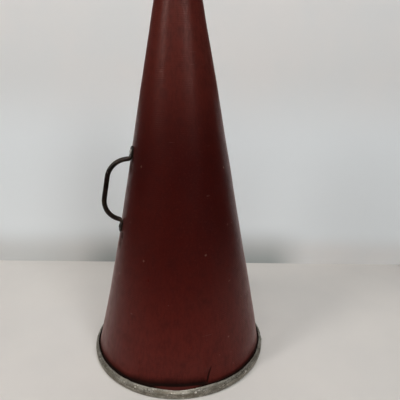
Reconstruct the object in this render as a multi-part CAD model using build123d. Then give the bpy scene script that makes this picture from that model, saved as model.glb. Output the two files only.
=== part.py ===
from build123d import *
import os
from math import asin, atan2, cos, radians, sin, tan

# A hand-held acoustic megaphone: a cone of fibre sheet with a sheet-metal rim round its bell, a metal
# mouthpiece and a rigid rod handle. It stands on its bell. Millimetres, +Z up the cone's axis, origin
# on the axis in the resting plane. The handle is at -X.

# Driving dimensions
HEIGHT = 508.0  # resting plane to the top of the mouthpiece
RIM_RADIUS = 127.0  # outside of the bell's rim
BASE_RADIUS = 120.4  # outside of the cone, carried down to the resting plane
MOUTH_RADIUS = 25.1  # outside of the cone, carried up to HEIGHT
WALL = 1.6  # fibre sheet

# Foot of the cone, where the sheet flares out into the rim
CREASE_HEIGHT = 16.0
CREASE_BEND = 3.0
FLARE_END = (126.1, 3.95)  # outer corner of the sheet's edge: radius, height
FIBRE_TOP = 503.5

# Lap seam, away from the handle
SEAM_AZIMUTH = 25.0
LAP_WIDTH = 20.0
LAP_RAMP = 14.0  # width over which the outer layer climbs onto the inner one
LAP_SPANS = 10  # straight stretches that the lap's curving edges are made of
LAP_TOE_DEPTH = 0.12  # the ramp's foot is let into the inner layer
LAP_BOTTOM = 22.0
LAP_TOP = 488.0
SEAM_RIVETS = 9
SEAM_FIRST = 42.0
SEAM_PITCH = 51.0  # vertical step between rivets

# Rim: a channel of sheet metal over a steel wire hoop
RIM_SHEET = 0.8
RIM_LIP = (123.2, 12.4)  # mid-line of the outer lip's top edge
RIM_BEND_HEIGHT = 8.2
RIM_LEG_RADIUS = 116.6  # mid-line of the inner leg, just clear of the fibre
RIM_LEG_TOP = 13.0
RIM_BENDS = [1.5, 2.6, 1.2]
HOOP_WIRE_RADIUS = 2.2
HOOP_RADIUS = 121.5
RIM_RIVETS = 10
RIM_RIVET_HEIGHT = 9.2
RIM_RIVET_FIRST = 6.5  # degrees from +X

# Handle, laid out in the wall's own frame: along the wall, then out from it
HANDLE_AZIMUTH = 180.0
HANDLE_HEIGHT = 248.8
ROD_RADIUS = 3.175
GRIP_STANDOFF = 28.0  # wall to the grip's centre line
FOOT_HALF_SPAN = 41.5
ARM_LEAN = 16.0  # degrees from square to the wall, towards the middle
GRIP_BEND = 27.0
FOOT_BEND = 4.0
ROD_END = 44.8
LUG_START = 47.4
LUG_END = 59.0
LUG_WIDTH = 11.5
LUG_THICK = 2.5
LUG_CORNER = 0.35  # radius of the lug's edges, as a share of its thickness
RIVET_HALF_SPAN = 50.8

# Mouthpiece ferrule
FERRULE_SHEET = 0.6
BORE_RADIUS = 23.0
SLEEVE_BOTTOM = 494.0
SKIRT_BOTTOM = 492.0
SKIRT_TOP = 502.0
LIP_RADIUS = 28.0
LIP_BOTTOM = 504.0
FERRULE_BENDS = [0.8, 0.9, 1.6, 1.9]
SKIRT_FIT = 0.15  # between the skirt and the fibre
TACKS = 4
TACK_HEIGHT = 497.0
TACK_FIRST = 45.0

# Rivets and tacks: head radius, head height, shank radius, tail radius, tail height
HANDLE_RIVET = (3.3, 1.3, 1.6, 2.6, 1.1)
SEAM_RIVET = (3.0, 1.4, 1.2, 2.0, 0.8)
RIM_RIVET = (1.6, 0.8, 0.9, 1.4, 0.4)
TACK = (2.0, 0.9, 0.9, 1.4, 0.6)
HANDLE_BURR = (5.0, 1.0)  # radius, thickness
SEAM_BURR = (3.4, 0.6)
HOLE_PLAY = 0.05
SEAT_PLAY = 0.05

# Lengths of the cylinders cut for shanks
WALL_CUT = 12.0
RIM_CUT = 30.0
TACK_CUT = 20.0
SKIRT_CUT = 4.0

# Worked out from the dimensions above
TAPER = (BASE_RADIUS - MOUTH_RADIUS) / HEIGHT
SLANT = atan2(BASE_RADIUS - MOUTH_RADIUS, HEIGHT)
LEVEL_WALL = WALL / cos(SLANT)  # the wall's thickness measured level


def cone_radius(height, inset=0.0):
    """Radius of the cone's outside, or of the surface that lies the inset below it."""
    return BASE_RADIUS - TAPER * height - inset / cos(SLANT)


def spun_sheet(points, bends, thickness):
    """Sheet turned round Z, from its mid-line given as (radius, height) points."""
    line = FilletPolyline(*points, radius=bends)
    return revolve(Plane.XZ * trace(line, line_width=thickness), Axis.Z)


def wall_plane(azimuth, height, standoff=0.0):
    """Plane on the cone's outside with its normal square to the wall, at an azimuth in degrees."""
    around = radians(azimuth)
    normal = Vector(cos(SLANT) * cos(around), cos(SLANT) * sin(around), sin(SLANT))
    radius = cone_radius(height)
    on_wall = Vector(radius * cos(around), radius * sin(around), height)
    return Plane(origin=on_wall + normal * standoff, z_dir=normal)


def level_plane(azimuth, radius, height):
    """Plane at a radius and height with its normal pointing level and outwards."""
    around = radians(azimuth)
    outwards = Vector(cos(around), sin(around), 0)
    return Plane(origin=outwards * radius + Vector(0, 0, height), z_dir=outwards)


def dome_side(radius, height):
    """Point half way along the arc from the edge of a round dome to its top."""
    ball = (radius**2 + height**2) / (2 * height)
    half_turn = asin(radius / ball) / 2
    return (ball * sin(half_turn), height - ball + ball * cos(half_turn))


def rivet(sizes, grip):
    """Domed rivet along Z: head on the plane Z = 0, closed tail at the far end of the grip."""
    head_r, head_h, shank_r, tail_r, tail_h = sizes
    tail_side = dome_side(tail_r, tail_h)
    outline = [
        Line((0, head_h), (0, -grip - tail_h)),
        ThreePointArc((0, -grip - tail_h), (tail_side[0], -grip - tail_side[1]), (tail_r, -grip)),
        Line((tail_r, -grip), (shank_r, -grip)),
        Line((shank_r, -grip), (shank_r, 0)),
        Line((shank_r, 0), (head_r, 0)),
        ThreePointArc((head_r, 0), dome_side(head_r, head_h), (0, head_h)),
    ]
    return revolve(Plane.XZ * make_face(outline), Axis.Z)


def shank_hole(sizes, length):
    """Cylinder to cut for a rivet's shank, centred on the plane Z = 0."""
    return Cylinder(sizes[2] + HOLE_PLAY, length)


def burr(sizes, hole_radius):
    """Flat washer with its top on the plane Z = 0."""
    radius, thickness = sizes
    ring = Cylinder(radius, thickness) - Cylinder(hole_radius + HOLE_PLAY, thickness)
    return Pos(0, 0, -thickness / 2) * ring


# Where each fastener goes

SEAM_HEIGHTS = [SEAM_FIRST + SEAM_PITCH * step for step in range(SEAM_RIVETS)]
RIM_AZIMUTHS = [RIM_RIVET_FIRST + 360 / RIM_RIVETS * step for step in range(RIM_RIVETS)]
TACK_AZIMUTHS = [TACK_FIRST + 360 / TACKS * step for step in range(TACKS)]
RIVET_RISE = RIVET_HALF_SPAN * cos(SLANT)
HANDLE_RIVET_HEIGHTS = {"upper": HANDLE_HEIGHT + RIVET_RISE, "lower": HANDLE_HEIGHT - RIVET_RISE}


def lap_section(height):
    """Outline of the seam's outer layer at a height, from the middle of the wall outwards, at +X."""
    inner = cone_radius(height, WALL / 2)
    face = cone_radius(height)
    outer = face + LEVEL_WALL
    start = -LAP_WIDTH / 2 / face
    end = LAP_WIDTH / 2 / face
    foot = (LAP_WIDTH / 2 + LAP_RAMP) / face
    toe = face - LAP_TOE_DEPTH

    def at(radius, angle):
        return (radius * cos(angle), radius * sin(angle), height)

    middle = (start + end) / 2
    edges = [
        Line(at(inner, start), at(outer, start)),
        ThreePointArc(at(outer, start), at(outer, middle), at(outer, end)),
        Line(at(outer, end), at(toe, foot)),
        Line(at(toe, foot), at(inner, foot)),
        ThreePointArc(at(inner, foot), at(inner, (start + foot) / 2), at(inner, start)),
    ]
    return Face(Wire([edge.edge() for edge in edges]))


def cone_shell():
    rise = CREASE_HEIGHT - FLARE_END[1]
    run = FLARE_END[0] - cone_radius(CREASE_HEIGHT)
    flare = atan2(run, rise)
    half = WALL / 2
    flare_end = (FLARE_END[0] - half * cos(flare), FLARE_END[1] - half * sin(flare))
    crease = (cone_radius(CREASE_HEIGHT, half), CREASE_HEIGHT)
    top = (cone_radius(FIBRE_TOP, half), FIBRE_TOP)
    shell = spun_sheet([flare_end, crease, top], CREASE_BEND, WALL)
    lap_step = (LAP_TOP - LAP_BOTTOM) / LAP_SPANS
    laps = [lap_section(LAP_BOTTOM + lap_step * step) for step in range(LAP_SPANS + 1)]
    shell += Rot(0, 0, SEAM_AZIMUTH) * loft(laps, ruled=True)
    for height in HANDLE_RIVET_HEIGHTS.values():
        shell -= wall_plane(HANDLE_AZIMUTH, height) * shank_hole(HANDLE_RIVET, WALL_CUT)
    for height in SEAM_HEIGHTS:
        shell -= wall_plane(SEAM_AZIMUTH, height) * shank_hole(SEAM_RIVET, WALL_CUT)
    for azimuth in RIM_AZIMUTHS:
        shell -= level_plane(azimuth, RIM_LIP[0], RIM_RIVET_HEIGHT) * shank_hole(RIM_RIVET, RIM_CUT)
    for azimuth in TACK_AZIMUTHS:
        shell -= level_plane(azimuth, LIP_RADIUS, TACK_HEIGHT) * shank_hole(TACK, TACK_CUT)
    return shell


def burr_standoff(radius, height):
    """How far below the cone's outside a flat washer of this radius seats on the curved inner wall."""
    inside = cone_radius(height, WALL)
    return WALL + inside - (inside**2 - radius**2) ** 0.5 + SEAT_PLAY


def seam_rivets():
    rivets = []
    for height in SEAM_HEIGHTS:
        head_seat = WALL + SEAT_PLAY
        grip = head_seat + burr_standoff(SEAM_BURR[0], height) + SEAM_BURR[1] + SEAT_PLAY
        rivets.append(wall_plane(SEAM_AZIMUTH, height, head_seat) * rivet(SEAM_RIVET, grip))
    return rivets


def seam_burrs():
    shape = burr(SEAM_BURR, SEAM_RIVET[2])
    seats = [burr_standoff(SEAM_BURR[0], height) for height in SEAM_HEIGHTS]
    planes = [wall_plane(SEAM_AZIMUTH, height, -seat) for height, seat in zip(SEAM_HEIGHTS, seats)]
    return [plane * shape for plane in planes]


def bell_rim():
    side = RIM_RADIUS - RIM_SHEET / 2
    floor = RIM_SHEET / 2
    points = [
        RIM_LIP,
        (side, RIM_BEND_HEIGHT),
        (side, floor),
        (RIM_LEG_RADIUS, floor),
        (RIM_LEG_RADIUS, RIM_LEG_TOP),
    ]
    rim = spun_sheet(points, RIM_BENDS, RIM_SHEET)
    for azimuth in RIM_AZIMUTHS:
        rim -= level_plane(azimuth, RIM_LIP[0], RIM_RIVET_HEIGHT) * shank_hole(RIM_RIVET, RIM_CUT)
    return rim


def rim_wire():
    height = RIM_SHEET + HOOP_WIRE_RADIUS + SEAT_PLAY
    return Pos(0, 0, height) * Torus(HOOP_RADIUS, HOOP_WIRE_RADIUS)


def rim_rivets():
    """Rivets through the rim's two sides and the fibre between them."""
    lip_slope = (RIM_RADIUS - RIM_SHEET / 2 - RIM_LIP[0]) / (RIM_LIP[1] - RIM_BEND_HEIGHT)
    head_bottom = RIM_RIVET_HEIGHT - RIM_RIVET[0]
    seat = RIM_RADIUS - RIM_SHEET / 2 - lip_slope * (head_bottom - RIM_BEND_HEIGHT)
    seat += RIM_SHEET / 2 + 2 * SEAT_PLAY
    grip = seat - (RIM_LEG_RADIUS - RIM_SHEET / 2) + SEAT_PLAY
    shape = rivet(RIM_RIVET, grip)
    return [level_plane(azimuth, seat, RIM_RIVET_HEIGHT) * shape for azimuth in RIM_AZIMUTHS]


def rod_end():
    """One foot of the handle: the rod flattened into a round-ended lug, in the wall's frame."""
    across = Plane(origin=(ROD_END, ROD_RADIUS, 0), z_dir=(1, 0, 0), x_dir=(0, 1, 0))
    round_section = across * Circle(ROD_RADIUS)
    at_lug = Plane(origin=(LUG_START, LUG_THICK / 2, 0), z_dir=(1, 0, 0), x_dir=(0, 1, 0))
    flat_section = at_lug * RectangleRounded(LUG_THICK, LUG_WIDTH, LUG_THICK * LUG_CORNER)
    spread = loft([round_section, flat_section])
    on_wall = Plane(origin=(0, 0, 0), z_dir=(0, 1, 0), x_dir=(1, 0, 0))
    centre = LUG_END - LUG_WIDTH / 2
    blade = Pos((LUG_START + centre) / 2, 0) * Rectangle(centre - LUG_START, LUG_WIDTH)
    blade += Pos(centre, 0) * Circle(LUG_WIDTH / 2)
    lug = extrude(on_wall * blade, LUG_THICK)
    return spread + lug


def handle():
    corner = FOOT_HALF_SPAN - tan(radians(ARM_LEAN)) * (GRIP_STANDOFF - ROD_RADIUS)
    points = [
        (-ROD_END, ROD_RADIUS),
        (-FOOT_HALF_SPAN, ROD_RADIUS),
        (-corner, GRIP_STANDOFF),
        (corner, GRIP_STANDOFF),
        (FOOT_HALF_SPAN, ROD_RADIUS),
        (ROD_END, ROD_RADIUS),
    ]
    line = FilletPolyline(*points, radius=[FOOT_BEND, GRIP_BEND, GRIP_BEND, FOOT_BEND])
    start = Plane(origin=(-ROD_END, ROD_RADIUS, 0), z_dir=(1, 0, 0))
    rod = sweep(start * Circle(ROD_RADIUS), path=line)
    foot = rod_end()
    shape = rod + foot + mirror(foot, Plane.YZ)
    for side in (-1, 1):
        hole = Plane(origin=(side * RIVET_HALF_SPAN, 0, 0), z_dir=(0, 1, 0))
        shape -= hole * shank_hole(HANDLE_RIVET, WALL_CUT)
    wall = wall_plane(HANDLE_AZIMUTH, HANDLE_HEIGHT, SEAT_PLAY)
    up_the_wall = (sin(SLANT), 0, cos(SLANT))
    return Plane(origin=wall.origin, x_dir=up_the_wall, z_dir=(0, -1, 0)) * shape


def handle_rivet(end):
    height = HANDLE_RIVET_HEIGHTS[end]
    head_seat = LUG_THICK + 2 * SEAT_PLAY
    grip = head_seat + burr_standoff(HANDLE_BURR[0], height) + HANDLE_BURR[1] + SEAT_PLAY
    return wall_plane(HANDLE_AZIMUTH, height, head_seat) * rivet(HANDLE_RIVET, grip)


def handle_burr(end):
    height = HANDLE_RIVET_HEIGHTS[end]
    seat = -burr_standoff(HANDLE_BURR[0], height)
    return wall_plane(HANDLE_AZIMUTH, height, seat) * burr(HANDLE_BURR, HANDLE_RIVET[2])


def mouthpiece_ferrule():
    half = FERRULE_SHEET / 2
    skirt = -SKIRT_FIT - half
    points = [
        (cone_radius(SKIRT_BOTTOM, skirt), SKIRT_BOTTOM),
        (cone_radius(SKIRT_TOP, skirt), SKIRT_TOP),
        (LIP_RADIUS, LIP_BOTTOM),
        (LIP_RADIUS, HEIGHT - half),
        (BORE_RADIUS + half, HEIGHT - half),
        (BORE_RADIUS + half, SLEEVE_BOTTOM),
    ]
    ferrule = spun_sheet(points, FERRULE_BENDS, FERRULE_SHEET)
    for azimuth in TACK_AZIMUTHS:
        outer = cone_radius(TACK_HEIGHT, -SKIRT_FIT - FERRULE_SHEET)
        ferrule -= level_plane(azimuth, outer, TACK_HEIGHT) * shank_hole(TACK, SKIRT_CUT)
    return ferrule


def mouthpiece_tacks():
    """Tacks through the ferrule's skirt and the fibre, closed short of the ferrule's inner sleeve."""
    seat = cone_radius(TACK_HEIGHT - TACK[0], -SKIRT_FIT - FERRULE_SHEET) + SEAT_PLAY
    grip = seat - cone_radius(TACK_HEIGHT + TACK[3], WALL) + SEAT_PLAY
    shape = rivet(TACK, grip)
    return [level_plane(azimuth, seat, TACK_HEIGHT) * shape for azimuth in TACK_AZIMUTHS]


def write(node, shape):
    solids = shape if isinstance(shape, list) else [shape]
    solids = [solid for item in solids for solid in item.solids()]
    shape = solids[0] if len(solids) == 1 else Compound(solids)
    export_step(shape, f"parts/{node}.step")


os.makedirs("parts", exist_ok=True)
write("cone_shell", cone_shell())
write("seam_rivets", seam_rivets())
write("seam_burrs", seam_burrs())
write("bell_rim", bell_rim())
write("rim_wire", rim_wire())
write("rim_rivets", rim_rivets())
write("handle", handle())
for end in HANDLE_RIVET_HEIGHTS:
    write(f"handle_rivet_{end}", handle_rivet(end))
    write(f"handle_burr_{end}", handle_burr(end))
write("mouthpiece_ferrule", mouthpiece_ferrule())
write("mouthpiece_tacks", mouthpiece_tacks())
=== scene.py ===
import math

import bpy
from mathutils import Matrix, Quaternion, Vector, noise


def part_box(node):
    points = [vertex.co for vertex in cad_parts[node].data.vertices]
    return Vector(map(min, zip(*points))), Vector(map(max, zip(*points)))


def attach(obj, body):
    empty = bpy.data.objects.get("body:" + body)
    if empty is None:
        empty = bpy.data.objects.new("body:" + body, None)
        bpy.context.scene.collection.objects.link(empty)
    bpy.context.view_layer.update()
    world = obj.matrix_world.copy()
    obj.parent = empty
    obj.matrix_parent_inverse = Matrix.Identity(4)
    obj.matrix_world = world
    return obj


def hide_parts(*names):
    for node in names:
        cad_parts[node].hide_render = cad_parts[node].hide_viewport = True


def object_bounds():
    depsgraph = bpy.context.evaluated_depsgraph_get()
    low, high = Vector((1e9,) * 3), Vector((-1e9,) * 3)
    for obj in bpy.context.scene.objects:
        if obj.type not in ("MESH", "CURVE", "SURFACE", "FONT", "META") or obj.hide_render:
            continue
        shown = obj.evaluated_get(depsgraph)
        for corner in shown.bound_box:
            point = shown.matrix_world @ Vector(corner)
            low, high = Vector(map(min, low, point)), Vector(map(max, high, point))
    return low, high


# Looks for a hand-held acoustic megaphone: fibre cone, sheet-metal rim, rod handle, metal mouthpiece.
# Shapes are worked out in millimetres on the frame's axes (+Z up the cone, handle at -X) and turned
# into metres when a mesh is made. Azimuths are degrees round Z from +X.

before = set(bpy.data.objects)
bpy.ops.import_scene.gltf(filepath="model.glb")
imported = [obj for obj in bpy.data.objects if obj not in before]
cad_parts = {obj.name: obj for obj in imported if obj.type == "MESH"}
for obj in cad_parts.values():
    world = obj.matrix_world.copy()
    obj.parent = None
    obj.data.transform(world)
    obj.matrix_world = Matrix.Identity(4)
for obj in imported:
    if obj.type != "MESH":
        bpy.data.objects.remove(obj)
cad_lo, cad_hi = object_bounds()

MM = 0.001
HEIGHT = cad_hi.z / MM
RIM_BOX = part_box("bell_rim")
RIM_RADIUS = RIM_BOX[1][0] / MM

# The cone, as the frame has it
BASE_RADIUS = 120.4
MOUTH_RADIUS = 25.1
WALL = 1.6
TAPER = (BASE_RADIUS - MOUTH_RADIUS) / HEIGHT
SLANT = math.atan(TAPER)
FIBRE_TOP = 503.5
FIBRE_EDGE = (126.1, 4.2)  # radius and height of the flared edge, inside the rim


def cone_radius(height, inset=0.0):
    return BASE_RADIUS - TAPER * height - inset / math.cos(SLANT)


def smooth(low, high, value):
    """0 below low, 1 above high, eased between."""
    t = min(max((value - low) / (high - low), 0.0), 1.0)
    return t * t * (3 - 2 * t)


def bell(centre, width, value):
    """A bump of height 1 at the centre, falling away over the width."""
    return math.exp(-(((value - centre) / width) ** 2))


def wobble(azimuth, height, scale, seed):
    """Smooth noise from -1 to 1 on the cone's surface; scale is the size of a lump in mm."""
    around = math.radians(azimuth)
    spot = Vector((math.cos(around) * 100, math.sin(around) * 100, height)) / scale
    return noise.noise(spot + Vector((seed * 7.3, seed * 3.1, seed * 5.7)))


def polar(azimuth, radius, height):
    around = math.radians(azimuth)
    return Vector((radius * math.cos(around), radius * math.sin(around), height))


# ---- Meshes ------------------------------------------------------------------------------------


def make_object(name, points, faces, material, smooth_faces=True):
    mesh = bpy.data.meshes.new(name)
    mesh.from_pydata([tuple(p * MM) for p in points], [], faces)
    mesh.validate()
    mesh.polygons.foreach_set("use_smooth", [smooth_faces] * len(mesh.polygons))
    mesh.update()
    obj = bpy.data.objects.new(name, mesh)
    bpy.context.scene.collection.objects.link(obj)
    for entry in material if isinstance(material, list) else [material]:
        mesh.materials.append(entry)
    return obj


def grid_faces(rows, columns, close_rows=False):
    """Quads over a grid whose columns close round on themselves."""
    faces = []
    for i in range(rows if close_rows else rows - 1):
        for j in range(columns):
            k = (j + 1) % columns
            below = i * columns
            above = (i + 1) % rows * columns
            faces.append((below + j, below + k, above + k, above + j))
    return faces


def join_meshes(name, objects):
    """One object from several, which are removed."""
    points, faces, slots, materials = [], [], [], []
    for obj in objects:
        first = len(points)
        points += [v.co / MM for v in obj.data.vertices]
        faces += [tuple(first + v for v in face.vertices) for face in obj.data.polygons]
        if obj.data.materials[0] not in materials:
            materials.append(obj.data.materials[0])
        slots += [materials.index(obj.data.materials[0])] * len(obj.data.polygons)
        bpy.data.objects.remove(obj)
    joined = make_object(name, points, faces, materials)
    joined.data.polygons.foreach_set("material_index", slots)
    return joined


def rounded_path(points, radii, step):
    """Points and directions along a plane path whose inner corners are rounded."""
    corners = [Vector(p) for p in points]
    path = [(corners[0], (corners[1] - corners[0]).normalized())]
    for i in range(1, len(corners) - 1):
        before = (corners[i] - corners[i - 1]).normalized()
        after = (corners[i + 1] - corners[i]).normalized()
        turn = before.angle_signed(after)
        reach = radii[i - 1] * math.tan(abs(turn) / 2)
        start = corners[i] - before * reach
        side = -1 if turn > 0 else 1
        centre = start + Vector((-before.y, before.x)) * radii[i - 1] * side
        add_run(path, start, before, step)
        pieces = max(3, round(abs(turn) * radii[i - 1] / (step * 0.5)))
        for k in range(1, pieces + 1):
            spin = Matrix.Rotation(side * abs(turn) * k / pieces, 2)
            path.append((centre + spin @ (start - centre), spin @ before))
    add_run(path, corners[-1], path[-1][1], step)
    return path


def add_run(path, end, direction, step):
    """Straight stretch from the path's last point to the end."""
    start = path[-1][0]
    pieces = max(1, round((end - start).length / step))
    for k in range(1, pieces + 1):
        path.append((start.lerp(end, k / pieces), direction))


def sheet_outline(points, radii, thickness, step):
    """Closed outline of bent sheet, from its mid-line in (radius, height)."""
    path = rounded_path(points, radii, step)
    half = thickness / 2
    left = [p + Vector((-d.y, d.x)) * half for p, d in path]
    right = [p - Vector((-d.y, d.x)) * half for p, d in path]
    return left + right[::-1]


def turned(name, outline, segments, material, shape=None):
    """Closed outline of (radius, height) turned round Z. The shape function may move a point."""
    points = []
    for j in range(segments):
        azimuth = 360 * j / segments
        for radius, height in outline:
            if shape:
                radius, height = shape(azimuth, radius, height)
            points.append(polar(azimuth, radius, height))
    faces = grid_faces(segments, len(outline), close_rows=True)
    return make_object(name, points, faces, material)


def pin(name, outline, matrix, material, segments=28, rough=0.0, seed=0):
    """Solid turned round its own axis from an open outline that starts and ends on the axis."""
    points = [matrix @ Vector((0, 0, outline[0][1]))]
    for radius, height in outline[1:-1]:
        for j in range(segments):
            angle = 2 * math.pi * j / segments
            spot = Vector((radius * math.cos(angle), radius * math.sin(angle), height))
            shift = noise.noise(spot * 0.9 + Vector((seed * 3.3, 1.7, seed))) * rough
            points.append(matrix @ (spot * (1 + shift / max(radius, 1))))
    points.append(matrix @ Vector((0, 0, outline[-1][1])))
    rings = len(outline) - 2
    faces = []
    for j in range(segments):
        k = (j + 1) % segments
        faces.append((0, 1 + k, 1 + j))
        last = 1 + (rings - 1) * segments
        faces.append((len(points) - 1, last + j, last + k))
        for i in range(rings - 1):
            low = 1 + i * segments
            faces.append((low + j, low + k, low + segments + k, low + segments + j))
    return make_object(name, points, faces, material)


def rivet_outline(head_r, head_h, shank_r, grip, tail_r, tail_h, steps=6):
    """From the top of the head to the end of the tail, with the head seated at height 0."""
    outline = [(0, head_h)]
    for k in range(1, steps + 1):
        angle = math.pi / 2 * k / steps
        outline.append((head_r * math.sin(angle), head_h * math.cos(angle) ** 0.9))
    outline += [(head_r * 0.98, -0.02), (shank_r, -0.03), (shank_r, -grip), (tail_r, -grip - 0.01)]
    for k in range(1, steps):
        angle = math.pi / 2 * k / steps
        outline.append((tail_r * math.cos(angle), -grip - tail_h * math.sin(angle)))
    outline.append((0, -grip - tail_h))
    return outline


def wall_matrix(azimuth, height, standoff):
    """Places a pin's axis square to the cone's wall."""
    around = math.radians(azimuth)
    normal = Vector((math.cos(SLANT) * math.cos(around), math.cos(SLANT) * math.sin(around), math.sin(SLANT)))
    place = polar(azimuth, cone_radius(height), height) + normal * standoff
    return Matrix.Translation(place) @ normal.to_track_quat("Z", "Y").to_matrix().to_4x4()


def level_matrix(azimuth, radius, height):
    """Places a pin's axis level, pointing outwards."""
    outwards = polar(azimuth, 1, 0)
    turn = outwards.to_track_quat("Z", "Y").to_matrix().to_4x4()
    return Matrix.Translation(polar(azimuth, radius, height)) @ turn


# ---- Materials ---------------------------------------------------------------------------------


class Nodes:
    """Short names for building a node tree."""

    def __init__(self, name):
        self.material = bpy.data.materials.new(name)
        self.material.use_nodes = True
        self.tree = self.material.node_tree
        self.tree.nodes.clear()
        self.out = self.tree.nodes.new("ShaderNodeOutputMaterial")
        self.shader = self.tree.nodes.new("ShaderNodeBsdfPrincipled")
        self.tree.links.new(self.shader.outputs[0], self.out.inputs["Surface"])
        self.place = self.tree.nodes.new("ShaderNodeTexCoord").outputs["Object"]

    def put(self, socket, value):
        if isinstance(value, bpy.types.NodeSocket):
            self.tree.links.new(value, socket)
        elif hasattr(socket.default_value, "__len__") and len(socket.default_value) == 4:
            socket.default_value = (*value[:3], 1.0)
        else:
            socket.default_value = value

    def set(self, name, value):
        self.put(self.shader.inputs[name], value)

    def scaled(self, scale):
        """Object coordinates times a scale per metre, one number or three."""
        node = self.tree.nodes.new("ShaderNodeVectorMath")
        node.operation = "MULTIPLY"
        self.put(node.inputs[0], self.place)
        node.inputs[1].default_value = scale if isinstance(scale, tuple) else (scale,) * 3
        return node.outputs[0]

    def noise(self, scale, detail=4.0, roughness=0.55, distortion=0.0, place=None):
        node = self.tree.nodes.new("ShaderNodeTexNoise")
        self.put(node.inputs["Vector"], place or self.scaled(scale))
        node.inputs["Scale"].default_value = 1.0
        node.inputs["Detail"].default_value = detail
        node.inputs["Roughness"].default_value = roughness
        node.inputs["Distortion"].default_value = distortion
        return node.outputs["Fac"]

    def cells(self, scale, feature="F1", randomness=1.0):
        node = self.tree.nodes.new("ShaderNodeTexVoronoi")
        node.feature = feature
        self.put(node.inputs["Vector"], self.scaled(scale))
        node.inputs["Scale"].default_value = 1.0
        node.inputs["Randomness"].default_value = randomness
        return node

    def ramp(self, value, low, high, bottom=0.0, top=1.0):
        """Maps low..high to bottom..top, eased and clamped."""
        node = self.tree.nodes.new("ShaderNodeMapRange")
        node.interpolation_type = "SMOOTHSTEP"
        self.put(node.inputs["Value"], value)
        node.inputs["From Min"].default_value = low
        node.inputs["From Max"].default_value = high
        node.inputs["To Min"].default_value = bottom
        node.inputs["To Max"].default_value = top
        return node.outputs["Result"]

    def math(self, operation, a, b=0.0):
        node = self.tree.nodes.new("ShaderNodeMath")
        node.operation = operation
        self.put(node.inputs[0], a)
        self.put(node.inputs[1], b)
        return node.outputs[0]

    def mix(self, amount, a, b):
        """Colour a, turning to b as the amount goes to 1."""
        node = self.tree.nodes.new("ShaderNodeMix")
        node.data_type = "RGBA"
        self.put(node.inputs["Factor"], amount)
        self.put([s for s in node.inputs if s.name == "A" and s.type == "RGBA"][0], a)
        self.put([s for s in node.inputs if s.name == "B" and s.type == "RGBA"][0], b)
        return [s for s in node.outputs if s.type == "RGBA"][0]

    def attribute(self, name):
        node = self.tree.nodes.new("ShaderNodeAttribute")
        node.attribute_name = name
        return node.outputs["Fac"]

    def bump(self, height, strength, distance, under=None):
        """Bump in metres over what is under it."""
        node = self.tree.nodes.new("ShaderNodeBump")
        node.inputs["Strength"].default_value = strength
        node.inputs["Distance"].default_value = distance
        self.put(node.inputs["Height"], height)
        if under:
            self.put(node.inputs["Normal"], under)
        return node.outputs["Normal"]

    def axis(self, letter):
        node = self.tree.nodes.new("ShaderNodeSeparateXYZ")
        self.put(node.inputs[0], self.place)
        return node.outputs[letter]


RIB_PITCH = 2.5
HANDLE_HEIGHT = 248.8
RIVET_HALF_SPAN = 50.8


# Steps that spread marks evenly over the wall with no visible order
ROUND_STEP = 0.7549
UP_STEP = 0.5698
SHARE_STEP = 0.3820


def scattered(count, start, lowest, highest):
    """Azimuths and heights spread over the wall by a formula, each with a share from 0 to 1."""
    places = []
    for index in range(start, start + count):
        azimuth = 360 * (index * ROUND_STEP % 1)
        height = lowest + (highest - lowest) * (index * UP_STEP % 1)
        places.append((azimuth, height, index * SHARE_STEP % 1))
    return places


def scuffs():
    """Rubbed marks as azimuth, height, half width and half height in mm, and how bare they are."""
    marks = []
    for azimuth, height, share in scattered(22, 1, 30, 290):
        marks.append((azimuth, height, 0.6 + 2.0 * share, 2.0 - 1.2 * share, 0.12 + 0.7 * (1 - share) ** 4))
    return marks


def handle_stains():
    """Rust and dirt that ran down from under each foot of the handle, in the same terms."""
    marks = []
    for foot in (HANDLE_HEIGHT - RIVET_HALF_SPAN, HANDLE_HEIGHT + RIVET_HALF_SPAN):
        marks.append((185, foot - 10, 4.5, 6.0, 0.75))
        marks.append((182, foot - 20, 6.0, 9.5, 0.5))
    return marks


def marks_mask(m, marks):
    """How strongly each place lies inside the listed marks, whose edges are broken up by noise."""
    ragged = m.ramp(m.noise(700, detail=3, roughness=0.7), 0.3, 0.7, -0.45, 0.45)
    mask = 0.0
    for azimuth, height, half_width, half_height, strength in marks:
        local = m.tree.nodes.new("ShaderNodeMapping")
        local.vector_type = "TEXTURE"
        m.put(local.inputs["Vector"], m.place)
        local.inputs["Location"].default_value = polar(azimuth, cone_radius(height), height) * MM
        local.inputs["Rotation"].default_value = (0, 0, math.radians(azimuth))
        local.inputs["Scale"].default_value = (20 * MM, half_width * MM, half_height * MM)
        away = m.tree.nodes.new("ShaderNodeVectorMath")
        away.operation = "LENGTH"
        m.put(away.inputs[0], local.outputs[0])
        mark = m.ramp(m.math("ADD", away.outputs["Value"], ragged), 1.15, 0.55, 0, strength)
        mask = mark if mask == 0.0 else m.math("MAXIMUM", mask, mark)
    return mask


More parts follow.
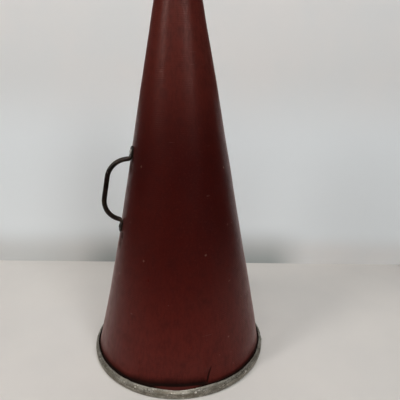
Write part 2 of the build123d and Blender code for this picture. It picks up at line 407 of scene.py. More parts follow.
def fibre_outside():
    m = Nodes("fibre_outside")
    height = m.axis("Z")
    broad = m.noise(9, detail=3)
    mottle = m.noise(70, detail=5, roughness=0.6)
    grain = m.noise((330, 330, 90), detail=4, roughness=0.7)
    fine = m.noise(420, detail=3, roughness=0.7)
    deep = m.mix(m.ramp(broad, 0.35, 0.68), (0.040, 0.0042, 0.0034), (0.056, 0.0066, 0.0048))
    # Painted light: the base colour is darkest at mid-height and lighter towards the bottom and the top. It
    # stands for light bounced up from the table and falling from above.
    colour = m.mix(m.ramp(height, 0.24, 0.03), deep, (0.098, 0.0125, 0.0090))
    colour = m.mix(m.ramp(height, 0.28, 0.45), colour, (0.098, 0.0175, 0.0125))
    colour = m.mix(m.ramp(mottle, 0.45, 0.75, 0, 0.34), colour, (0.026, 0.0036, 0.0032))
    colour = m.mix(m.ramp(grain, 0.42, 0.66, 0, 0.35), colour, (0.030, 0.0040, 0.0034))
    colour = m.mix(m.ramp(fine, 0.5, 0.8, 0, 0.3), colour, (0.12, 0.026, 0.019))
    # rubbed specks and short scratches
    specks = m.ramp(m.cells(95).outputs["Distance"], 0.09, 0.04)
    sparse = m.ramp(m.noise(23, detail=1), 0.58, 0.70)
    streaks = m.ramp(m.noise((40, 40, 900), detail=1, distortion=0.6), 0.735, 0.78)
    streaks = m.math("MULTIPLY", streaks, m.ramp(m.noise(31, detail=1), 0.56, 0.66))
    rubbed = m.math("MULTIPLY", m.math("MULTIPLY", specks, sparse), 0.3)
    rubbed = m.math("MAXIMUM", rubbed, m.math("MULTIPLY", streaks, 0.22))
    rubbed = m.math("MAXIMUM", rubbed, marks_mask(m, scuffs()))
    colour = m.mix(rubbed, colour, (0.44, 0.27, 0.21))
    # Dirt and painted shade from the mesh, with the rust stains under the handle's feet, take the colour
    # almost to black.
    dirt_and_shade = m.math("MAXIMUM", m.attribute("dirt_and_shade"), marks_mask(m, handle_stains()))
    colour = m.mix(dirt_and_shade, colour, (0.0050, 0.0016, 0.0008))
    m.set("Base Color", colour)
    rough = m.ramp(mottle, 0.3, 0.7, 0.30, 0.40)
    rough = m.math("ADD", rough, m.ramp(grain, 0.35, 0.7, -0.03, 0.06))
    rough = m.math("ADD", rough, m.math("MULTIPLY", rubbed, 0.2))
    rough = m.math("ADD", rough, m.math("MULTIPLY", dirt_and_shade, 0.55))
    m.set("Roughness", rough)
    m.shader.inputs["Specular IOR Level"].default_value = 0.16
    m.shader.inputs["Specular Tint"].default_value = (1.0, 0.74, 0.66, 1.0)
    m.shader.inputs["Sheen Weight"].default_value = 0.24
    m.shader.inputs["Sheen Roughness"].default_value = 0.3
    m.shader.inputs["Sheen Tint"].default_value = (1.0, 0.60, 0.54, 1.0)
    waver = m.math("MULTIPLY", m.noise(7, detail=1), 0.0035)
    turns = m.math("MULTIPLY", m.math("ADD", height, waver), 2 * math.pi / (RIB_PITCH * MM))
    ribs = m.math("MULTIPLY", m.math("SINE", turns), m.ramp(m.noise(34, detail=3), 0.35, 0.62, 0.15, 1.0))
    normal = m.bump(ribs, 0.34, 0.0001)
    normal = m.bump(m.noise(260, detail=5, roughness=0.65), 0.5, 0.0002, normal)
    m.set("Normal", normal)
    return m.material


def fibre_inside():
    m = Nodes("fibre_inside")
    blotch = m.noise(30, detail=5)
    colour = m.mix(m.ramp(blotch, 0.35, 0.7), (0.035, 0.007, 0.005), (0.075, 0.02, 0.013))
    colour = m.mix(m.ramp(m.noise(300, detail=3), 0.5, 0.8, 0, 0.4), colour, (0.012, 0.004, 0.003))
    m.set("Base Color", colour)
    m.set("Roughness", m.ramp(blotch, 0.3, 0.7, 0.62, 0.8))
    m.set("Normal", m.bump(m.noise(350, detail=5), 0.4, 0.0002))
    return m.material


def fibre_edge():
    m = Nodes("fibre_edge")
    layers = m.noise((250, 250, 2500), detail=3)
    m.set("Base Color", m.mix(m.ramp(layers, 0.35, 0.65), (0.05, 0.012, 0.008), (0.12, 0.04, 0.025)))
    m.set("Roughness", m.ramp(layers, 0.3, 0.7, 0.7, 0.9))
    m.set("Normal", m.bump(layers, 0.6, 0.0002))
    return m.material


def old_tinplate(name, light, dark, stain, streak_scale):
    """Dull grey sheet metal with stains, scratches, small pits and bright rubbed spots."""
    m = Nodes(name)
    cloud = m.noise(75, detail=7, roughness=0.72)
    drawn = m.noise(streak_scale, detail=4, roughness=0.65)
    colour = m.mix(m.ramp(cloud, 0.38, 0.62), dark, light)
    colour = m.mix(m.ramp(drawn, 0.42, 0.62, 0, 0.6), colour, stain)
    pits = m.ramp(m.cells(520).outputs["Distance"], 0.3, 0.12)
    pits = m.math("MULTIPLY", pits, m.ramp(m.noise(110, detail=2), 0.42, 0.58))
    colour = m.mix(m.math("MULTIPLY", pits, 0.85), colour, (0.02, 0.014, 0.009))
    scratches = m.ramp(m.cells((110, 110, 430), "DISTANCE_TO_EDGE").outputs["Distance"], 0.06, 0.01)
    scratches = m.math("MULTIPLY", scratches, m.ramp(m.noise(45, detail=2), 0.42, 0.58, 0, 0.75))
    colour = m.mix(scratches, colour, (0.045, 0.034, 0.024))
    spots = m.ramp(m.noise(330, detail=3, roughness=0.7), 0.60, 0.70)
    spots = m.math("MAXIMUM", spots, m.math("MULTIPLY", m.attribute("worn"), 0.3))
    colour = m.mix(spots, colour, (0.66, 0.63, 0.56))
    # Dirt and painted shade from the mesh: on the rim, the inside of the lip is painted dark for its shade.
    dirt_and_shade = m.attribute("dirt_and_shade")
    colour = m.mix(dirt_and_shade, colour, (0.012, 0.006, 0.003))
    m.set("Base Color", colour)
    m.set("Metallic", m.math("SUBTRACT", 0.8, m.math("MULTIPLY", dirt_and_shade, 0.75)))
    rough = m.ramp(cloud, 0.3, 0.7, 0.62, 0.42)
    rough = m.math("SUBTRACT", rough, m.math("MULTIPLY", spots, 0.12))
    rough = m.math("ADD", rough, m.math("MULTIPLY", dirt_and_shade, 0.4))
    m.set("Roughness", rough)
    normal = m.bump(cloud, 0.45, 0.0005)
    normal = m.bump(m.math("MAXIMUM", pits, scratches), -0.5, 0.00012, normal)
    m.set("Normal", normal)
    return m.material


def dark_steel():
    """Black-brown steel rod: old paint and rust, rubbed bright in places."""
    m = Nodes("dark_steel")
    blotch = m.noise(120, detail=6, roughness=0.65)
    colour = m.mix(m.ramp(blotch, 0.4, 0.66), (0.008, 0.0048, 0.0034), (0.034, 0.019, 0.011))
    rust = m.ramp(m.noise(310, detail=5, roughness=0.7), 0.56, 0.7)
    colour = m.mix(m.math("MULTIPLY", rust, 0.6), colour, (0.085, 0.036, 0.017))
    rub = m.ramp(m.noise(190, detail=3), 0.60, 0.72)
    rub = m.math("MULTIPLY", rub, m.attribute("wear"))
    colour = m.mix(rub, colour, (0.30, 0.25, 0.20))
    m.set("Base Color", colour)
    m.set("Metallic", m.math("ADD", 0.5, m.math("MULTIPLY", rub, 0.45)))
    m.set("Roughness", m.ramp(blotch, 0.3, 0.7, 0.29, 0.48))
    normal = m.bump(blotch, 0.4, 0.0004)
    normal = m.bump(rust, 0.3, 0.00012, normal)
    m.set("Normal", normal)
    return m.material


def rivet_steel(name, light, dark):
    m = Nodes(name)
    cloud = m.noise(450, detail=5, roughness=0.65)
    colour = m.mix(m.ramp(cloud, 0.38, 0.62), dark, light)
    m.set("Base Color", colour)
    m.shader.inputs["Metallic"].default_value = 0.9
    m.set("Roughness", m.ramp(cloud, 0.3, 0.7, 0.5, 0.3))
    m.set("Normal", m.bump(cloud, 0.3, 0.0003))
    return m.material


FIBRE_OUT = fibre_outside()
FIBRE_IN = fibre_inside()
FIBRE_EDGE_MAT = fibre_edge()
RIM_METAL = old_tinplate(
    "rim_metal", (0.39, 0.37, 0.32), (0.235, 0.22, 0.18), (0.17, 0.14, 0.10), (40, 40, 420)
)
FERRULE_METAL = old_tinplate(
    "ferrule_metal", (0.42, 0.40, 0.35), (0.22, 0.20, 0.17), (0.16, 0.12, 0.08), (60, 60, 900)
)
HANDLE_STEEL = dark_steel()
BRIGHT_RIVET = rivet_steel("bright_rivet", (0.86, 0.83, 0.78), (0.50, 0.48, 0.43))
DULL_RIVET = rivet_steel("dull_rivet", (0.34, 0.32, 0.27), (0.12, 0.10, 0.08))
DARK_RIVET = rivet_steel("dark_rivet", (0.07, 0.06, 0.05), (0.02, 0.017, 0.014))


# ---- Fibre cone --------------------------------------------------------------------------------

SEAM_AZIMUTH = 25.0
LAP_HALF = 10.0  # half the overlap's width
LAP_RAMP = 14.0
LAP_BOTTOM = 22.0
LAP_TOP = 488.0
SEAM_HALF = 30.0  # columns keep to fixed distances from the seam's middle this far out
LEFT_CRACK = 222.0
RIGHT_CRACK = 268.0
CRACK_SPLIT = 0.14  # degrees between the two sides of a crack
FOOT_TOP = 46.0
CREASE_ROWS = 1.35  # height taken up by the close rows at the crease
FOOT_SWELL = 0.7  # outward turn of the wall just above the flare
PUSHED_IN = 2.8  # how far the front of the wall is driven in above the break
BREAK_OPEN = 1.1  # height of the open break above the foot strip


def crack_path(height):
    """Azimuth of the right-hand crack, which leans as it climbs."""
    return 264.6 + 0.17 * height


def crease_height(azimuth):
    """Where the wall turns out into the flare: higher where the foot strip shows at the front."""
    strip = smooth(230, 241, azimuth) * (1 - smooth(258, 266, azimuth))
    return 11.6 + 1.3 * strip + 0.3 * wobble(azimuth, 0, 14, 3)


def broken(azimuth):
    """1 where the wall is broken through above the foot strip, 0 where it is whole."""
    return smooth(226, 236, azimuth) * (1 - smooth(266.5, 268.2, azimuth))


def pushed_in(azimuth, height, past_crack):
    """How far the wall stands in from the true cone."""
    if past_crack or azimuth < LEFT_CRACK - 0.001:
        return 0.0
    across = 0.2 + 0.8 * smooth(LEFT_CRACK, 240, azimuth)
    across *= 1 - smooth(RIGHT_CRACK + 2, RIGHT_CRACK + 3, azimuth)
    climb = 1 - smooth(14, 64, height)
    edge = smooth(36, 22, height) if azimuth > RIGHT_CRACK - 3 else 1.0
    return PUSHED_IN * across * climb**1.6 * max(edge, 0.0)


def lap_height(offset, height):
    """Rise of the outer layer above the cone, at a distance in mm from the seam's middle."""
    ends = smooth(LAP_BOTTOM - 1, LAP_BOTTOM + 1, height) * (1 - smooth(LAP_TOP - 1, LAP_TOP + 1, height))
    if offset < -LAP_HALF - 0.01 or offset > LAP_HALF + LAP_RAMP:
        return 0.0
    ramp = 1 - smooth(LAP_HALF, LAP_HALF + LAP_RAMP, offset)
    edge = 0.86 + 0.14 * smooth(-LAP_HALF, -LAP_HALF + 0.8, offset)
    return WALL * ramp * edge * ends


def seam_columns():
    offsets = [-30, -24, -18, -14, -11.5, -10.5, -10.06, -10, -9.6, -9, -7, -4, 0, 4, 7, 9, 10]
    offsets += [12, 14, 16, 18, 20, 22, 24, 27]
    return [("seam", offset) for offset in offsets]


def round_columns(count=300):
    """Fractions of the way round from one side of the seam to the other."""
    seam = math.degrees(SEAM_HALF / cone_radius(20))
    span = 360 - 2 * seam
    fractions = [k / count for k in range(count)]
    for crack in (LEFT_CRACK, RIGHT_CRACK):
        here = (crack - SEAM_AZIMUTH - seam) / span
        fractions = [f for f in fractions if abs(f - here) > 0.35 / span]
        for shift in (-1.4, -0.7, -0.3, -0.02, 0.02, 0.3, 0.7, 1.4):
            fractions.append(here + (shift if abs(shift) > 0.1 else shift / 0.02 * CRACK_SPLIT / 2) / span)
    return [("round", f) for f in sorted(fractions)]


def column_azimuth(column, height):
    kind, value = column
    radius = cone_radius(height)
    if kind == "seam":
        return SEAM_AZIMUTH + math.degrees(value / radius)
    seam = math.degrees(SEAM_HALF / radius)
    azimuth = SEAM_AZIMUTH + seam + value * (360 - 2 * seam)
    # the columns beside the right-hand crack follow it
    if 0 < height < 60:
        shift = (crack_path(min(max(height, 10), 36)) - RIGHT_CRACK) * (1 - smooth(36, 58, height))
        azimuth += shift * bell(RIGHT_CRACK, 6, azimuth)
    return azimuth


def foot_rows():
    """Rows from the flared edge up to FOOT_TOP, as (kind, value)."""
    rows = [("flare", k / 14) for k in range(14)] + [("flare", 0.985)]
    rows += [("crease", offset) for offset in (0.0, 0.15, 0.5, 0.9, 1.15, 1.35)]
    rows += [("wall", (k / 30) ** 1.3) for k in range(1, 31)]
    return rows


def upper_rows():
    step = 5.5
    heights = []
    height = FOOT_TOP + step
    while height < FIBRE_TOP - 2:
        heights.append(height)
        height += step
    heights += [LAP_TOP - 1.2, LAP_TOP, LAP_TOP + 1.2, FIBRE_TOP]
    return [("upper", h) for h in sorted(heights)]


SHALLOW_DENTS = [
    (azimuth, height, 14 + 20 * share, 0.4 + 0.3 * share)  # reach and depth in mm
    for azimuth, height, share in scattered(12, 40, 40, 340)
]


def wall_radius(azimuth, height, past_crack):
    """Outside of the wall above the crease, worn out of true."""
    radius = cone_radius(height)
    firm = 1 - bell(180, 14, azimuth) * smooth(178, 192, height) * (1 - smooth(312, 326, height))
    firm *= 1 - smooth(470, 488, height)
    lumps = 0.45 * wobble(azimuth, height * 0.6, 60, 1) + 0.18 * wobble(azimuth, height, 22, 2)
    radius += lumps * firm
    radius += 2.6 * bell(163, 27, azimuth) * (1 - smooth(12, 110, height))
    radius -= 2.0 * bell(158, 13, azimuth) * bell(210, 100, height)
    out_of_round = 1.2 * (1 - smooth(380, 470, height)) + 1.4 * (1 - smooth(110, 215, height))
    radius += out_of_round * bell(335, 30, azimuth) * smooth(-10, 50, height)
    radius += FOOT_SWELL * (1 - smooth(8, 26, height))
    for where, level, reach, depth in SHALLOW_DENTS:
        away = abs((azimuth - where + 180) % 360 - 180) * math.pi / 180 * radius
        radius -= depth * math.exp(-(away**2 + (height - level) ** 2) / reach**2) * firm
    return radius - pushed_in(azimuth, height, past_crack)


def shell_point(column, row):
    """Point on the outside of the fibre, and how dark it is painted there for dirt and for shade."""
    kind, value = row
    guess = {"flare": 8, "crease": 12, "wall": 24}.get(kind, value)
    azimuth = column_azimuth(column, guess)
    crease = crease_height(azimuth)
    if kind == "flare":
        height = FIBRE_EDGE[1] + value * (crease - FIBRE_EDGE[1])
    elif kind == "crease":
        height = crease + value
    elif kind == "wall":
        height = crease + CREASE_ROWS + value * (FOOT_TOP - crease - CREASE_ROWS)
    else:
        height = value
    if kind in ("wall", "crease"):
        azimuth = column_azimuth(column, height)
    past_crack = azimuth > (crack_path(height) if height < 36 else RIGHT_CRACK)
    opening = broken(azimuth)
    if kind == "flare":
        root = wall_radius(azimuth, crease, True) + 0.2
        radius = FIBRE_EDGE[0] - (FIBRE_EDGE[0] - root) * value**3.2
    elif kind == "crease":
        gap = bell(0.5, 0.34, value / BREAK_OPEN) * opening
        whole = wall_radius(azimuth, height, past_crack)
        start = wall_radius(azimuth, crease, True) + 0.2
        blend = smooth(0.0, 1.3, value)
        radius = start + (whole - start) * blend - 2.6 * gap
    else:
        radius = wall_radius(azimuth, height, past_crack)
        if column[0] == "seam":
            radius += lap_height(column[1], height)
    above = height - crease
    # Dirt and painted shade: the wall is painted dark just above the crease, down in the groove under the
    # rim's lip, and higher up where it is pushed in above the break. This stands for the shade there as well
    # as for dirt.
    dirt_and_shade = 0.0
    if kind in ("wall", "crease"):
        valley = smooth(212, 222, azimuth) * (1 - smooth(265, 267.5, azimuth))
        reach = 4.6 + 5.4 * valley + 0.8 * wobble(azimuth, height, 18, 5)
        fade = max(1 - above / reach, 0.0)
        dirt_and_shade = (0.85 + 0.15 * valley) * fade ** (1.3 - 0.4 * valley)
    elif kind == "flare":
        # Dirt and painted shade: the flare down in the groove is painted dark, least where the foot strip
        # shows at the front.
        strip = smooth(231, 240, azimuth) * (1 - smooth(258, 264, azimuth))
        dirt_and_shade = 1.0 - 0.55 * strip
    # Painted shade: a dark line along each crack stands for the shade inside it.
    crack = bell(crack_path(height), 0.35, azimuth) * (1 - smooth(30, 36, height))
    crack = max(crack, bell(LEFT_CRACK, 0.35, azimuth) * (1 - smooth(14, 20, height)))
    return polar(azimuth, radius, height), min(max(dirt_and_shade, 0.9 * crack), 1.0)


def build_shell():
    columns = seam_columns() + round_columns()
    rows = foot_rows() + upper_rows()
    spots = [shell_point(column, row) for row in rows for column in columns]
    points = [spot for spot, _ in spots]
    shell = make_object(
        "fibre_cone", points, grid_faces(len(rows), len(columns)), [FIBRE_OUT, FIBRE_IN, FIBRE_EDGE_MAT]
    )
    layer = shell.data.attributes.new("dirt_and_shade", "FLOAT", "POINT")
    layer.data.foreach_set("value", [dirt_and_shade for _, dirt_and_shade in spots])
    return thickened(shell)


def thickened(shell):
    """Gives the outer surface its wall, with other materials inside and on the cut edges."""
    modifier = shell.modifiers.new("wall", "SOLIDIFY")
    modifier.thickness = WALL * MM
    modifier.offset = -1
    modifier.material_offset = 1
    modifier.material_offset_rim = 2
    evaluated = shell.evaluated_get(bpy.context.evaluated_depsgraph_get())
    solid = bpy.data.meshes.new_from_object(evaluated)
    shell.modifiers.clear()
    shell.data = solid
    return shell


# ---- Rim ---------------------------------------------------------------------------------------

RIM_SHEET = 0.8
RIM_LIP = (123.2, 12.4)
RIM_BEND_HEIGHT = 8.2
RIM_LEG_RADIUS = 116.6
RIM_LEG_TOP = 13.0
OUT_OF_ROUND = 0.7
RIM_BULGE = 1.2  # the most that a bulge may stand out past the CAD rim


def rim_shape(azimuth, radius, height):
    """Small dents and waves in the rim, least where it rests, and its inner leg bent down at the break."""
    free = smooth(0.5, 5, height) * smooth(118, 121, radius)
    dents = 0.35 * wobble(azimuth, height, 16, 11) + 0.22 * wobble(azimuth, height, 5, 12)
    crimp = bell(0, 1, math.sin(math.radians(azimuth * 9 + 40)) * 6) * 0.3
    oval = OUT_OF_ROUND * math.cos(math.radians(azimuth - 340)) * smooth(118, 121, radius)
    radius += free * (dents - crimp) - oval
    height += 0.3 * free * wobble(azimuth, 0, 12, 13)
    # the lip stands higher beside the break, and is beaten down in front of it
    edge = smooth(8, 12, height) * smooth(118, 121, radius)
    height += edge * (1.2 * bell(267, 9, azimuth) - 0.9 * bell(248, 9, azimuth))
    at_break = smooth(218, 226, azimuth) * (1 - smooth(268, 276, azimuth))
    at_break *= 1 - smooth(117.2, 118.2, radius)
    height *= 1 - 0.5 * at_break
    return min(radius, RIM_RADIUS + RIM_BULGE), height


def build_rim():
    side = RIM_RADIUS - RIM_SHEET / 2
    floor = RIM_SHEET / 2
    points = [
        RIM_LIP,
        (side, RIM_BEND_HEIGHT),
        (side, floor),
        (RIM_LEG_RADIUS, floor),
        (RIM_LEG_RADIUS, RIM_LEG_TOP),
    ]
    outline = sheet_outline(points, [1.5, 2.6, 1.2], RIM_SHEET, 1.0)
    rim = turned("rolled_rim", outline, 420, RIM_METAL, rim_shape)
    dirt_and_shade, worn = [], []
    for vertex in rim.data.vertices:
        x, y, z = vertex.co / MM
        radius = math.hypot(x, y)
        azimuth = math.degrees(math.atan2(y, x)) % 360
        # Dirt and painted shade: the inner face of the lip, down by the groove, is painted dark for its
        # shade. The patchy grime is dirt.
        slope = max(z - RIM_BEND_HEIGHT, 0) * 0.8
        inside = smooth(125.8 - slope, 124.6 - slope, radius)
        inside *= smooth(0.5, 1.2, z)
        grime = 0.55 * smooth(0.1, 0.5, wobble(azimuth, z, 9, 14)) * smooth(1.5, 4, z)
        dirt_and_shade.append(min(max(inside * 0.9, grime * 0.5), 1.0))
        patchy = 0.5 + 0.5 * wobble(azimuth, z, 4, 17)
        worn.append(patchy * smooth(11, 12, z) * smooth(120, 122, radius))
    rim.data.attributes.new("dirt_and_shade", "FLOAT", "POINT").data.foreach_set("value", dirt_and_shade)
    rim.data.attributes.new("worn", "FLOAT", "POINT").data.foreach_set("value", worn)
    return rim


# ---- Handle ------------------------------------------------------------------------------------

ROD_RADIUS = 3.175
GRIP_STANDOFF = 28.0
GRIP_HALF_SPAN = 34.4  # to the corner where the arm's line meets the grip's
LUG_END = 58.6
LUG_HALF_WIDTH = 5.75
LUG_HALF_THICK = 1.25
ARM_LEAN = 16.0
GRIP_BEND = 27.0
FOOT_BEND = 4.5


def from_wall(along, out, sideways):
    """Point given in the wall's frame at the handle: up the wall, out from it and sideways."""
    up_wall = Vector((math.sin(SLANT), 0, math.cos(SLANT)))
    outwards = Vector((-math.cos(SLANT), 0, math.sin(SLANT)))
    middle = Vector((-cone_radius(HANDLE_HEIGHT), 0, HANDLE_HEIGHT))
    return middle + up_wall * along + outwards * out + Vector((0, sideways, 0))


def rod_section(distance):
    """Half width, half thickness and squareness of the rod at a distance from its end."""
    round_end = math.sqrt(max(LUG_HALF_WIDTH**2 - (LUG_HALF_WIDTH - min(distance, LUG_HALF_WIDTH)) ** 2, 0.0))
    flat = 1 - smooth(11.5, 21.5, distance)
    half_width = ROD_RADIUS + (round_end - ROD_RADIUS) * flat
    if distance > LUG_HALF_WIDTH:
        half_width = ROD_RADIUS + (LUG_HALF_WIDTH - ROD_RADIUS) * flat
    thin = LUG_HALF_THICK * (0.55 + 0.45 * smooth(0, 1.5, distance))
    half_thick = ROD_RADIUS + (thin - ROD_RADIUS) * (1 - smooth(12.5, 19.5, distance))
    return max(half_width, 0.4), half_thick, 2.0 + 1.6 * flat


def build_handle():
    foot = GRIP_HALF_SPAN + math.tan(math.radians(ARM_LEAN)) * (GRIP_STANDOFF - LUG_HALF_THICK)
    points = [
        (-LUG_END, LUG_HALF_THICK),
        (-foot, LUG_HALF_THICK),
        (-GRIP_HALF_SPAN, GRIP_STANDOFF),
        (GRIP_HALF_SPAN, GRIP_STANDOFF),
        (foot, LUG_HALF_THICK),
        (LUG_END, LUG_HALF_THICK),
    ]
    path = rounded_path(points, [FOOT_BEND, GRIP_BEND, GRIP_BEND, FOOT_BEND], 0.8)
    lengths = [0.0]
    for (a, _), (b, _) in zip(path, path[1:]):
        lengths.append(lengths[-1] + (b - a).length)
    total = lengths[-1]
    ring = 28
    spots, wear = [], []
    for (centre, direction), length in zip(path, lengths):
        distance = min(length, total - length)
        half_width, half_thick, square = rod_section(distance)
        out = Vector((-direction.y, direction.x))
        near_wall = distance < 17
        centre_out = max(centre.y, half_thick + 0.03) if near_wall else centre.y
        for k in range(ring):
            angle = 2 * math.pi * k / ring
            c, s = math.cos(angle), math.sin(angle)
            across = half_width * math.copysign(abs(c) ** (2 / square), c)
            through = half_thick * math.copysign(abs(s) ** (2 / square), s)
            beat = 1 + 0.02 * noise.noise(Vector((length * 0.35, c * 1.5, s * 1.5)))
            beat += 0.012 * noise.noise(Vector((length * 1.2, c * 3 + 9, s * 3)))
            along = centre.x + out.x * through * beat
            spots.append(from_wall(along, centre_out + out.y * through * beat, across * beat))
            wear.append(0.35 + 0.65 * smooth(0.1, 0.8, s) * smooth(30, 45, distance))
    rings = len(path)
    faces = grid_faces(rings, ring)
    faces.append(tuple(range(ring)))
    faces.append(tuple(range((rings - 1) * ring, rings * ring))[::-1])
    handle = make_object("rod_handle", spots, faces, HANDLE_STEEL)
    handle.data.attributes.new("wear", "FLOAT", "POINT").data.foreach_set("value", wear)
    return handle


# ---- Fasteners and mouthpiece ------------------------------------------------------------------


def build_handle_rivets():
    rise = RIVET_HALF_SPAN * math.cos(SLANT)
    outline = rivet_outline(3.3, 1.3, 1.6, 5.4, 2.6, 1.1)
    upper_place = wall_matrix(180, HANDLE_HEIGHT + rise, 2 * LUG_HALF_THICK + 0.05)
    lower_place = wall_matrix(180, HANDLE_HEIGHT - rise, 2 * LUG_HALF_THICK + 0.05)
    upper = pin("upper_handle_rivet", outline, upper_place, BRIGHT_RIVET, rough=0.12, seed=1)
    lower = pin("lower_handle_rivet", outline, lower_place, DARK_RIVET, rough=0.12, seed=2)
    return upper, lower


def build_seam_rivets():
    heights = [42.0 + 51.0 * step for step in range(9)]
    pins = []
    for seed, height in enumerate(heights):
        outline = rivet_outline(3.0, 1.4, 1.2, 4.1, 2.0, 0.8)
        place = wall_matrix(SEAM_AZIMUTH, height, WALL + 0.05)
        pins.append(pin("seam_pin", outline, place, DULL_RIVET, rough=0.1, seed=seed))
    return join_meshes("lap_seam_rivets", pins)


def build_rim_rivets():
    pins = []
    for step in range(10):
        azimuth = 6.5 + 36.0 * step
        outline = rivet_outline(1.6, 0.8, 0.9, 10.2, 1.4, 0.4)
        place = level_matrix(azimuth, 126.5, 9.2)
        pins.append(pin("rim_pin", outline, place, BRIGHT_RIVET, segments=18, rough=0.1, seed=step))
    return join_meshes("rim_pins", pins)


def build_tacks():
    pins = []
    for step in range(4):
        outline = rivet_outline(2.0, 0.9, 0.9, 2.9, 1.4, 0.6)
        place = level_matrix(45 + 90 * step, cone_radius(495, -0.75) + 0.05, 497.0)
        pins.append(pin("tack", outline, place, DULL_RIVET, segments=18, rough=0.1, seed=step))
    return join_meshes("ferrule_tacks", pins)


def ferrule_shape(azimuth, radius, height):
    worn = smooth(493, 497, height) * smooth(23.8, 25, radius)
    radius += worn * (0.12 * wobble(azimuth, height, 9, 21) + 0.06 * wobble(azimuth, height, 3, 22))
    return radius, height


def build_ferrule():
    sheet = 0.6
    half = sheet / 2
    points = [
        (cone_radius(492, -0.15 - half), 492),
        (cone_radius(502, -0.15 - half), 502),
        (28.0, 504.0),
        (28.0, HEIGHT - half),
        (23.0 + half, HEIGHT - half),
        (23.0 + half, 494.0),
    ]
    outline = sheet_outline(points, [0.8, 0.9, 1.6, 1.9], sheet, 0.8)
    ferrule = turned("spun_ferrule", outline, 160, FERRULE_METAL, ferrule_shape)
    # On the ferrule this channel holds only patchy dirt.
    dirt_and_shade = [0.35 * smooth(0.0, 0.5, wobble(0, v.co.z / MM, 3, 5)) for v in ferrule.data.vertices]
    ferrule.data.attributes.new("dirt_and_shade", "FLOAT", "POINT").data.foreach_set("value", dirt_and_shade)
    return ferrule


# ---- Camera, stage and light -------------------------------------------------------------------

HEADING = 66.5  # azimuth that the camera looks along
CAMERA_BEARING = -110.3  # azimuth of the camera from the cone's axis
CAMERA_REACH = 4.1126 * RIM_RADIUS
CAMERA_HEIGHT = 3.0113 * RIM_RADIUS
CAMERA_PITCH = 16.61
CAMERA_ROLL = 0.62
LENS = 34.65
WALL_BEHIND = 269.0
WALL_HALF = 470.0
WALL_GLOSS_TOP = 380.0
TABLE_HALF = 700.0
TABLE_DEPTH = 650.0
FAR = 6000.0
ROOM_COLOUR = (0.60, 0.59, 0.57, 1.0)
TABLE_TONES = ((0.72, 0.69, 0.655), (0.69, 0.665, 0.635))
WALL_TONES = ((0.86, 0.845, 0.83), (0.83, 0.835, 0.83))


def add_camera():
    data = bpy.data.cameras.new("camera")
    data.sensor_width = 36.0
    data.lens = LENS
    data.clip_start = 0.01
    camera = bpy.data.objects.new("camera", data)
    bpy.context.scene.collection.objects.link(camera)
    camera.location = polar(CAMERA_BEARING, CAMERA_REACH, CAMERA_HEIGHT) * MM
    down = math.radians(CAMERA_PITCH)
    ahead = polar(HEADING, math.cos(down), -math.sin(down))
    camera.rotation_mode = "QUATERNION"
    level = ahead.to_track_quat("-Z", "Y")
    camera.rotation_quaternion = level @ Quaternion((0, 0, 1), math.radians(CAMERA_ROLL))
    bpy.context.scene.camera = camera


def stage_material(name, colour, other, one_sided, outer=False):
    """Pale and plain. The outer parts glow more with distance, so that they end as pale as the room."""
    m = Nodes(name)
    pale = m.mix(m.ramp(m.noise(6, detail=3), 0.35, 0.65), colour, other)
    if one_sided:
        # painted light and shade, to imitate a photographed room: a paler band half way up is painted light,
        # and the grey low down, darkest behind the cone, is a painted shadow
        middle = m.math("MULTIPLY", m.ramp(m.axis("Z"), 0.42, 0.26), m.ramp(m.axis("Z"), 0.02, 0.08))
        pale = m.mix(middle, pale, (0.91, 0.95, 0.97))
        along = m.tree.nodes.new("ShaderNodeVectorMath")
        along.operation = "DOT_PRODUCT"
        m.put(along.inputs[0], m.place)
        along.inputs[1].default_value = polar(HEADING - 90, 1, 0)
        behind = m.ramp(along.outputs["Value"], 0.28, 0.18)
        behind = m.math("MULTIPLY", behind, m.ramp(along.outputs["Value"], -0.26, -0.16, 0.4, 1.0))
        # painted shadow low on the wall, darkest behind the cone
        low = m.math("MULTIPLY", m.ramp(m.axis("Z"), 0.10, -0.01), behind)
        pale = m.mix(low, pale, (0.37, 0.40, 0.395))
    m.set("Base Color", pale)
    m.shader.inputs["Roughness"].default_value = 0.85
    m.shader.inputs["Specular IOR Level"].default_value = 0.2
    if outer:
        away = m.tree.nodes.new("ShaderNodeVectorMath")
        away.operation = "LENGTH"
        m.put(away.inputs[0], m.place)
        m.shader.inputs["Emission Color"].default_value = ROOM_COLOUR
        m.set("Emission Strength", m.ramp(away.outputs["Value"], 0.5, 2.6, 0.0, 1.0))
    if one_sided:
        clear = m.tree.nodes.new("ShaderNodeBsdfTransparent")
        choose = m.tree.nodes.new("ShaderNodeMixShader")
        back = m.tree.nodes.new("ShaderNodeNewGeometry").outputs["Backfacing"]
        m.tree.links.new(back, choose.inputs[0])
        m.tree.links.new(m.shader.outputs[0], choose.inputs[1])
        m.tree.links.new(clear.outputs[0], choose.inputs[2])
        m.tree.links.new(choose.outputs[0], m.out.inputs["Surface"])
    return m.material


def panel(name, left, right, near, far, material, upright=False):
    """Part of the floor, or of the wall if upright. Left and right run along the wall's foot."""
    ahead = polar(HEADING, 1, 0)
    aside = polar(HEADING - 90, 1, 0)
    foot = ahead * WALL_BEHIND
    up = Vector((0, 0, 1)) if upright else ahead
    corners = [foot + aside * left + up * near, foot + aside * right + up * near]
    corners += [foot + aside * right + up * far, foot + aside * left + up * far]
    stage = make_object(name, corners, [(0, 1, 2, 3)], material, False)
    return stage


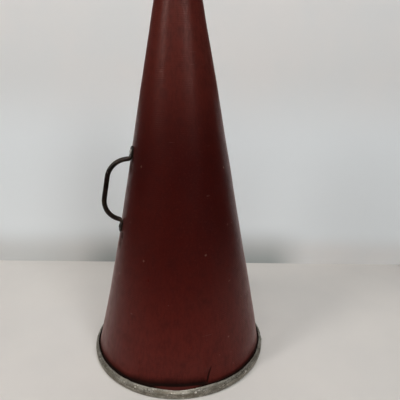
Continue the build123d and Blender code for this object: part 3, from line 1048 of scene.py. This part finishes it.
def add_stage():
    """Table and wall. Only the parts near the object light it and show in its gloss."""
    white = stage_material("table_white", *TABLE_TONES, False)
    grey = stage_material("wall_grey", *WALL_TONES, True)
    panel("table", -TABLE_HALF, TABLE_HALF, -TABLE_DEPTH, 0.001, white)
    panel("backdrop", -WALL_HALF, WALL_HALF, 0, WALL_GLOSS_TOP, grey, True)
    above = panel("backdrop_above", -WALL_HALF, WALL_HALF, WALL_GLOSS_TOP, FAR, grey, True)
    above.visible_glossy = False
    far_white = stage_material("far_table_white", *TABLE_TONES, False, True)
    far_grey = stage_material("far_wall_grey", *WALL_TONES, True, True)
    outer = [
        panel("table_left", -FAR, -TABLE_HALF, -TABLE_DEPTH, 0.001, far_white),
        panel("table_right", TABLE_HALF, FAR, -TABLE_DEPTH, 0.001, far_white),
        panel("table_front", -FAR, FAR, -FAR, -TABLE_DEPTH, far_white),
        panel("table_back", -FAR, FAR, 0.001, FAR, far_white),
        panel("backdrop_left", -FAR, -WALL_HALF, 0, FAR, far_grey, True),
        panel("backdrop_right", WALL_HALF, FAR, 0, FAR, far_grey, True),
    ]
    for stage in outer:
        stage.visible_glossy = False
        stage.visible_diffuse = False
        stage.visible_shadow = False


def soft_light(name, bearing, reach, height, size, aim, watts, colour):
    """Rectangular light at a place given in mm from the axis, aimed at a height on it."""
    data = bpy.data.lights.new(name, "AREA")
    data.shape = "RECTANGLE"
    data.size, data.size_y = size[0] * MM, size[1] * MM
    data.energy = watts
    data.color = colour
    light = bpy.data.objects.new(name, data)
    bpy.context.scene.collection.objects.link(light)
    light.location = polar(bearing, reach, height) * MM
    towards = Vector((0, 0, aim * MM)) - light.location
    light.rotation_mode = "QUATERNION"
    light.rotation_quaternion = towards.to_track_quat("-Z", "Y")


def add_room():
    """Pale surroundings that are seen beyond the stage, but give almost no light."""
    world = bpy.data.worlds.new("room")
    world.use_nodes = True
    tree = world.node_tree
    seen = tree.nodes["Background"]
    seen.inputs[0].default_value = ROOM_COLOUR
    dim = tree.nodes.new("ShaderNodeBackground")
    dim.inputs[0].default_value = (0.005, 0.005, 0.005, 1.0)
    choose = tree.nodes.new("ShaderNodeMixShader")
    rays = tree.nodes.new("ShaderNodeLightPath")
    tree.links.new(rays.outputs["Is Camera Ray"], choose.inputs[0])
    tree.links.new(dim.outputs[0], choose.inputs[1])
    tree.links.new(seen.outputs[0], choose.inputs[2])
    tree.links.new(choose.outputs[0], tree.nodes["World Output"].inputs["Surface"])
    bpy.context.scene.world = world
    bpy.context.scene.view_settings.view_transform = "Standard"


def add_lights():
    soft_light("window_left", -170.3, 1500, 1500, (400, 700), 250, 13.0, (1.0, 0.975, 0.95))
    soft_light("window_right", -76.3, 1500, 1500, (500, 700), 250, 9.5, (0.96, 0.98, 1.0))
    soft_light("ceiling", -110.3, 1000, 1900, (1600, 1200), 200, 19.5, (1.0, 0.98, 0.96))


# ---- Putting it together -----------------------------------------------------------------------

add_camera()
add_stage()
add_room()
add_lights()

upper_rivet, lower_rivet = build_handle_rivets()
PIECES = [
    (build_shell(), "cone_shell", "fibre"),
    (build_rim(), "bell_rim", "galvanised_sheet"),
    (build_handle(), "handle", "handle_steel"),
    (upper_rivet, "handle_rivet_upper", "rivet_steel"),
    (lower_rivet, "handle_rivet_lower", "handle_steel"),
    (build_seam_rivets(), "seam_rivets", "rivet_steel"),
    (build_rim_rivets(), "rim_rivets", "rivet_steel"),
    (build_tacks(), "mouthpiece_tacks", "rivet_steel"),
    (build_ferrule(), "mouthpiece_ferrule", "galvanised_sheet"),
]
for piece, node, slot in PIECES:
    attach(piece, "root")
    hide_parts(node)

# Nodes inside or out of sight keep their CAD shape
for node in ("rim_wire", "seam_burrs", "handle_burr_upper", "handle_burr_lower"):
    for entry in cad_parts[node].material_slots:
        entry.material = DULL_RIVET
